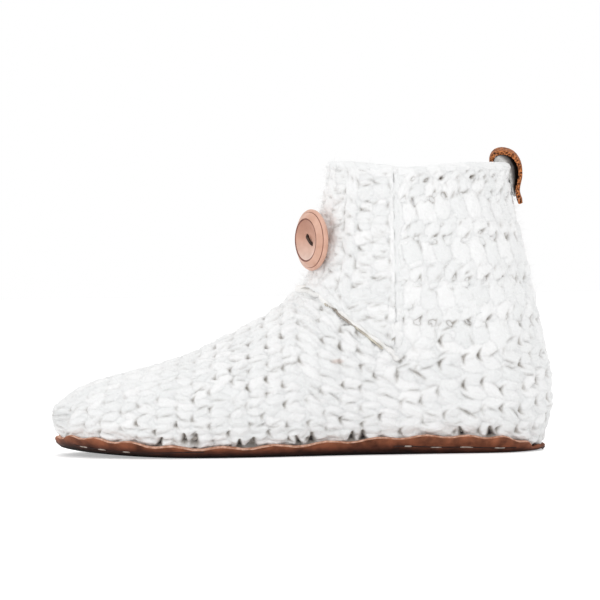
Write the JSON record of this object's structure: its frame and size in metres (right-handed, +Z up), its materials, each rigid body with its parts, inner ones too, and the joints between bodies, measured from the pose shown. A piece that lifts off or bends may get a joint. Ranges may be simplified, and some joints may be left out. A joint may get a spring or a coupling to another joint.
{
  "type": "slipper boot",
  "caption": "Crocheted wool slipper boot, hollow and open at the collar, with a buttoned wrap-over front flap, a leather pull loop and a turned-up leather sole.",
  "frame": {"origin": "on the floor, under the middle of the slipper's box", "axes": "+X from toe to heel, +Y towards the inner side of the foot, +Z up"},
  "size_m": [0.2505, 0.0986, 0.1516],
  "materials": {
    "wool": "chunky crocheted wool, soft and matt",
    "sole_leather": "smooth brown leather, raw cut edge, satin",
    "felt": "plain pressed wool felt, matt",
    "wood": "turned wood, waxed, satin",
    "tan_leather": "rough tan leather strip with cut edges"
  },
  "bodies": {
    "root": {"outsole": "sole_leather", "insole": "felt", "upper": "wool", "front_flap": "wool", "button": "wood", "pull_loop": "tan_leather"}
  },
  "joints": []
}
